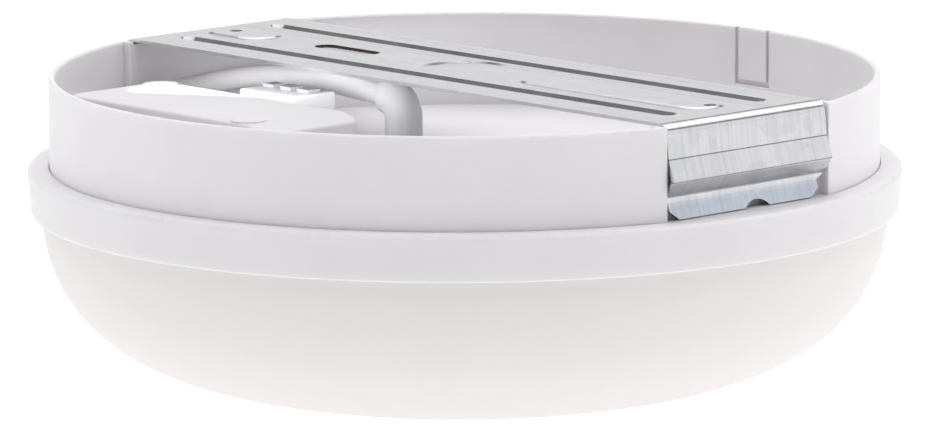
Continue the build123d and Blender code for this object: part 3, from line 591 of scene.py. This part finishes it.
class WallLightColours(bpy.types.PropertyGroup):
    """Colours that a user would change, as sRGB hex values."""

    housing: StringProperty(name="Housing", description="Housing and trim ring", default="#F2F0F2")
    diffuser: StringProperty(name="Diffuser", description="Opal diffuser", default="#F8F2F0")
    driver: StringProperty(name="Driver", description="Driver's case and cover", default="#E9E7EA")
    zinc: StringProperty(name="Zinc", description="Zinc coat of the bracket", default="#E0E0E3")


class LIGHT_OT_housing(bpy.types.Operator):
    """Finish the housing and its trim ring"""

    bl_idname = "light.housing"
    bl_label = "Housing and trim ring"

    def execute(self, context):
        colours = context.scene.wall_light_colours
        sizes = context.scene.wall_light_sizes
        # satin polycarbonate with a 2.4 mm wall, which lets some of the light behind it through
        white = moulded_plastic(
            "moulded_polycarbonate_white", colours.housing, 0.42, sizes.grain, 0.006, through_mm=1.6
        )
        # the knock-outs' scores get painted shade
        paint_score_shade(white)
        finish_node(["housing", "trim_ring"], white)
        return {"FINISHED"}


class LIGHT_OT_diffuser(bpy.types.Operator):
    """Finish the opal diffuser and its seal"""

    bl_idname = "light.diffuser"
    bl_label = "Diffuser"

    def execute(self, context):
        colours = context.scene.wall_light_colours
        # opal polycarbonate: pigment under the satin skin scatters light, so its shading is soft
        opal, _, _ = new_material(
            "opal_polycarbonate",
            {
                "Base Color": hex_colour(colours.diffuser),
                "Roughness": 0.5,
                "IOR": 1.58,
                "Subsurface Weight": 0.35,
                "Subsurface Radius": (1.0, 0.9, 0.8),
                "Subsurface Scale": 0.006,
            },
        )
        finish_node(["diffuser"], opal)
        seal = moulded_plastic("silicone_rubber_white", "#E6E6E6", 0.6, 0.8, 0.01, ior=1.41)
        finish_node(["diffuser_seal"], seal)
        return {"FINISHED"}


class LIGHT_OT_bracket(bpy.types.Operator):
    """Finish the bracket's zinc-coated steel"""

    bl_idname = "light.bracket"
    bl_label = "Bracket"

    def execute(self, context):
        colours = context.scene.wall_light_colours
        sizes = context.scene.wall_light_sizes
        zinc = galvanised_sheet(colours.zinc, sizes.zinc_flake, sizes.rolling_mark)
        finish_node(["wall_bracket"], zinc)
        return {"FINISHED"}


class LIGHT_OT_driver(bpy.types.Operator):
    """Finish the driver and what is inside it"""

    bl_idname = "light.driver"
    bl_label = "Driver"

    def execute(self, context):
        colours = context.scene.wall_light_colours
        white = moulded_plastic("moulded_pc_abs_white", colours.driver, 0.5, 0.5, 0.012)
        finish_node(["driver_case", "driver_cover", "led_connector"], white)
        green = moulded_plastic("glass_epoxy_board_green", "#2E6B45", 0.35, 0.6, 0.004)
        finish_node(["driver_board"], green)
        black = moulded_plastic("capacitor_sleeve_black", "#17171A", 0.3, 0.8, 0.004)
        finish_node(["driver_capacitors"], black)
        yellow = moulded_plastic("polyester_tape_yellow", "#D9B43A", 0.35, 2.0, 0.02)
        finish_node(["driver_transformer"], yellow)
        copper = bright_metal("enamelled_copper_wire", "#B5662F", 0.3, 0.6)
        finish_node(["driver_choke"], copper)
        terminal = moulded_plastic("polyamide_green", "#4C8A5C", 0.45, 0.6, 0.008)
        finish_node(["driver_terminals"], terminal)
        return {"FINISHED"}


class LIGHT_OT_terminals(bpy.types.Operator):
    """Finish the mains terminal block, its buttons and clamp springs"""

    bl_idname = "light.terminals"
    bl_label = "Terminal block"

    def execute(self, context):
        grey = moulded_plastic("polyamide_light_grey", "#E2E2E5", 0.5, 0.6, 0.01)
        finish_node(["terminal_block"], grey)
        grey = moulded_plastic("polyamide_grey", "#BFC0C4", 0.45, 0.6, 0.01)
        finish_node(["terminal_button_1", "terminal_button_2", "terminal_button_3"], grey)
        spring = bright_metal("spring_steel_bright", "#C9CACC", 0.25, 0.3)
        finish_node(["terminal_springs"], spring)
        return {"FINISHED"}


class LIGHT_OT_leads(bpy.types.Operator):
    """Make the driver's sheathed lead and the single wires"""

    bl_idname = "light.leads"
    bl_label = "Leads"

    def execute(self, context):
        sizes = context.scene.wall_light_sizes
        sheath = moulded_plastic("pvc_sheath_white", "#F7F6F8", 0.38, 1.2, 0.02)
        for node, thickness, routes in WIRE_ROUTES:
            wires = sheathed(node + "_sheath", routes, thickness, 4, sheath)
            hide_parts(node)
            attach(wires, "luminaire")
        lead = sheathed("driver_lead_sheath", [LEAD_ROUTE], sizes.lead, 8, sheath)
        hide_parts("driver_lead")
        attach(lead, "luminaire")
        return {"FINISHED"}


class LIGHT_OT_sleeve(bpy.types.Operator):
    """Make the silicone elbow that takes the lead through the housing's floor"""

    bl_idname = "light.sleeve"
    bl_label = "Silicone sleeve"

    def execute(self, context):
        shape = bmesh.new()
        bmesh.ops.create_circle(
            shape, cap_ends=False, segments=64, radius=SLEEVE_RINGS[0][1] * MM
        )
        centre = Vector(SLEEVE_FOOT) * MM
        bmesh.ops.translate(shape, vec=centre, verts=shape.verts)
        edge = list(shape.edges)
        for (_, wide), (next_rise, next_wide) in zip(SLEEVE_RINGS, SLEEVE_RINGS[1:]):
            share = next_wide / wide
            edge = grow_rim(shape, edge, centre, (share, share, 1.0), (0, 0, next_rise * MM))
        bend = Vector(SLEEVE_BEND) * MM
        bent = bmesh.ops.spin(
            shape,
            geom=edge,
            cent=bend,
            axis=(0, -1, 0),
            angle=math.radians(90),
            steps=14,
            use_merge=False,
        )["geom_last"]
        edge = [part for part in bent if isinstance(part, bmesh.types.BMEdge)]
        centre = bend + Vector((0, 0, SLEEVE_BEND_RADIUS * MM))
        for reach, share in SLEEVE_MOUTH:
            edge = grow_rim(shape, edge, centre, (1.0, share, share), (-reach * MM, 0, 0))
        bmesh.ops.recalc_face_normals(shape, faces=shape.faces)
        for face in shape.faces:
            face.smooth = True
        mesh = bpy.data.meshes.new("silicone_elbow")
        shape.to_mesh(mesh)
        shape.free()
        elbow = bpy.data.objects.new("silicone_elbow", mesh)
        context.scene.collection.objects.link(elbow)
        wall = elbow.modifiers.new("wall", "SOLIDIFY")
        wall.thickness = SLEEVE_WALL * MM
        wall.offset = -1.0
        mesh.materials.append(milky_silicone("silicone_rubber_milky", "#F8F9FC"))
        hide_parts("lead_sleeve")
        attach(elbow, "luminaire")
        return {"FINISHED"}


class LIGHT_OT_light_source(bpy.types.Operator):
    """Finish the tray, the LED board and the LEDs"""

    bl_idname = "light.light_source"
    bl_label = "Light source"

    def execute(self, context):
        tray = moulded_plastic("powder_coat_white", "#EEEEEE", 0.4, 0.5, 0.01)
        finish_node(["led_tray"], tray)
        board = moulded_plastic("solder_mask_white", "#F2F2EE", 0.35, 0.8, 0.004)
        finish_node(["led_board"], board)
        phosphor = moulded_plastic("led_phosphor_yellow", "#E8CF52", 0.3, 0.4, 0.01)
        finish_node(["leds"], phosphor)
        return {"FINISHED"}


class LIGHT_OT_screws(bpy.types.Operator):
    """Finish the screws"""

    bl_idname = "light.screws"
    bl_label = "Screws"

    def execute(self, context):
        zinc = bright_metal("zinc_plated_screw", "#CFCFD2", 0.3, 0.2)
        finish_node(["tray_screws", "board_screws", "driver_screws", "terminal_screw"], zinc)
        return {"FINISHED"}


def light_tent(ahead, right):
    """A light tent round the object: a white wall at the horizon, dimmer on the camera's side, a dark
    gap above it, and a wide soft light overhead that falls into the open drum."""
    world = bpy.data.worlds.new("light_tent")
    world.use_nodes = True
    tree = world.node_tree
    where = add_node(tree, "ShaderNodeTexCoord").outputs["Generated"]
    shares = []
    for direction in (Vector((0, 0, 1)), -ahead, right):
        share = add_node(
            tree, "ShaderNodeVectorMath", {"operation": "DOT_PRODUCT"}, {0: where, 1: direction}
        )
        shares.append(share.outputs["Value"])
    height, forward, sideways = shares
    levels = []
    for bands in (TENT_BACK, TENT_FRONT):
        level = add_node(tree, "ShaderNodeFloatCurve", inputs={"Value": height})
        curve = level.mapping.curves[0]
        curve.points[0].location = (0.0, bands[0][1] / TENT_TOP)
        curve.points[-1].location = (1.0, bands[-1][1] / TENT_TOP)
        for place, value in bands[1:-1]:
            curve.points.new(place, value / TENT_TOP)
        for point in curve.points:
            point.handle_type = "VECTOR"
        level.mapping.update()
        levels.append(level.outputs["Value"])
    openness = add_node(
        tree,
        "ShaderNodeMapRange",
        {"interpolation_type": "SMOOTHSTEP"},
        {"Value": forward, "From Min": -0.2, "From Max": 0.85},
    )
    mixed = add_node(
        tree,
        "ShaderNodeMix",
        inputs={"Factor": openness.outputs["Result"], "A": levels[0], "B": levels[1]},
    )
    side = add_node(
        tree,
        "ShaderNodeMapRange",
        {"interpolation_type": "SMOOTHSTEP"},
        {
            "Value": sideways,
            "From Min": 0.2,
            "To Min": TENT_TOP,
            "To Max": TENT_TOP * TENT_RIGHT,
        },
    )
    strength = add_node(
        tree,
        "ShaderNodeMath",
        {"operation": "MULTIPLY"},
        {0: mixed.outputs["Result"], 1: side.outputs["Result"]},
    )
    set_inputs(
        tree,
        tree.nodes["Background"],
        {"Color": (1, 1, 1, 1), "Strength": strength.outputs["Value"]},
    )
    return world


class LIGHT_OT_stage(bpy.types.Operator):
    """Set up the floor, the studio light and the camera"""

    bl_idname = "light.stage"
    bl_label = "Stage"

    def execute(self, context):
        lowest = cad_box[0][2]
        mesh = bpy.data.meshes.new("studio_floor")
        shape = bmesh.new()
        bmesh.ops.create_grid(shape, x_segments=1, y_segments=1, size=6.0)
        bmesh.ops.translate(shape, vec=(0, 0, lowest), verts=shape.verts)
        shape.to_mesh(mesh)
        shape.free()
        floor = bpy.data.objects.new("studio_floor", mesh)
        context.scene.collection.objects.link(floor)
        table, _, _ = new_material(
            "light_table_acrylic_opal",
            {
                "Base Color": (0.42, 0.42, 0.42, 1),
                "Roughness": 0.9,
                "Emission Color": (1.0, 1.0, 1.0, 1),
                "Emission Strength": 0.68,
            },
        )
        mesh.materials.append(table)

        azimuth = math.radians(VIEW_AZIMUTH)
        right = Vector((math.cos(azimuth), math.sin(azimuth), 0))
        ahead = Vector((-math.sin(azimuth), math.cos(azimuth), 0))
        context.scene.world = light_tent(ahead, right)

        # a slim light over the driver, which shines along the drum under the bracket
        strip = bpy.data.lights.new("drum_fill", "AREA")
        strip.shape = "RECTANGLE"
        strip.size = 0.09
        strip.size_y = 0.005
        strip.spread = math.radians(65)
        strip.energy = 0.0095
        fill = bpy.data.objects.new("drum_fill", strip)
        away = Vector(FILL_BACK).normalized()
        level = Vector((0, 0, 1)).cross(away).normalized()
        turn = Matrix((level, away.cross(level), away)).transposed()
        fill.matrix_world = Matrix.Translation(Vector(FILL_PLACE) * MM) @ turn.to_4x4()
        fill.visible_camera = False
        fill.visible_glossy = False
        context.scene.collection.objects.link(fill)
        context.scene.view_settings.view_transform = "Standard"

        lens = bpy.data.cameras.new("camera")
        lens.sensor_width = SENSOR_WIDTH
        lens.lens = LENS_PIXELS / IMAGE_WIDTH * SENSOR_WIDTH
        lens.clip_end = 50.0
        camera = bpy.data.objects.new("camera", lens)
        forward = ahead * math.cos(CAMERA_PITCH) - Vector((0, 0, math.sin(CAMERA_PITCH)))
        up = right.cross(forward)
        right, up = (
            right * math.cos(CAMERA_ROLL) + up * math.sin(CAMERA_ROLL),
            up * math.cos(CAMERA_ROLL) - right * math.sin(CAMERA_ROLL),
        )
        place = -ahead * CAMERA_AWAY + Vector((0, 0, CAMERA_HEIGHT))
        turn = Matrix((right, up, -forward)).transposed()
        camera.matrix_world = Matrix.Translation(place) @ turn.to_4x4()
        context.scene.collection.objects.link(camera)
        context.scene.camera = camera

        return {"FINISHED"}


OPERATORS = (
    LIGHT_OT_housing,
    LIGHT_OT_diffuser,
    LIGHT_OT_bracket,
    LIGHT_OT_driver,
    LIGHT_OT_terminals,
    LIGHT_OT_leads,
    LIGHT_OT_sleeve,
    LIGHT_OT_light_source,
    LIGHT_OT_screws,
    LIGHT_OT_stage,
)


class LIGHT_PT_wall_light(bpy.types.Panel):
    """List the steps in the sidebar"""

    bl_idname = "LIGHT_PT_wall_light"
    bl_label = "Outdoor wall light"
    bl_space_type = "VIEW_3D"
    bl_region_type = "UI"
    bl_category = "Wall light"

    def draw(self, context):
        column = self.layout.column()
        for operator in OPERATORS:
            column.operator(operator.bl_idname)


CLASSES = (WallLightSizes, WallLightColours, *OPERATORS, LIGHT_PT_wall_light)


def register():
    for cls in CLASSES:
        bpy.utils.register_class(cls)
    bpy.types.Scene.wall_light_sizes = PointerProperty(type=WallLightSizes)
    bpy.types.Scene.wall_light_colours = PointerProperty(type=WallLightColours)


def unregister():
    del bpy.types.Scene.wall_light_sizes
    del bpy.types.Scene.wall_light_colours
    for cls in reversed(CLASSES):
        bpy.utils.unregister_class(cls)


def main():
    register()
    for operator in OPERATORS:
        group, name = operator.bl_idname.split(".")
        getattr(getattr(bpy.ops, group), name)()


if __name__ == "__main__":
    main()
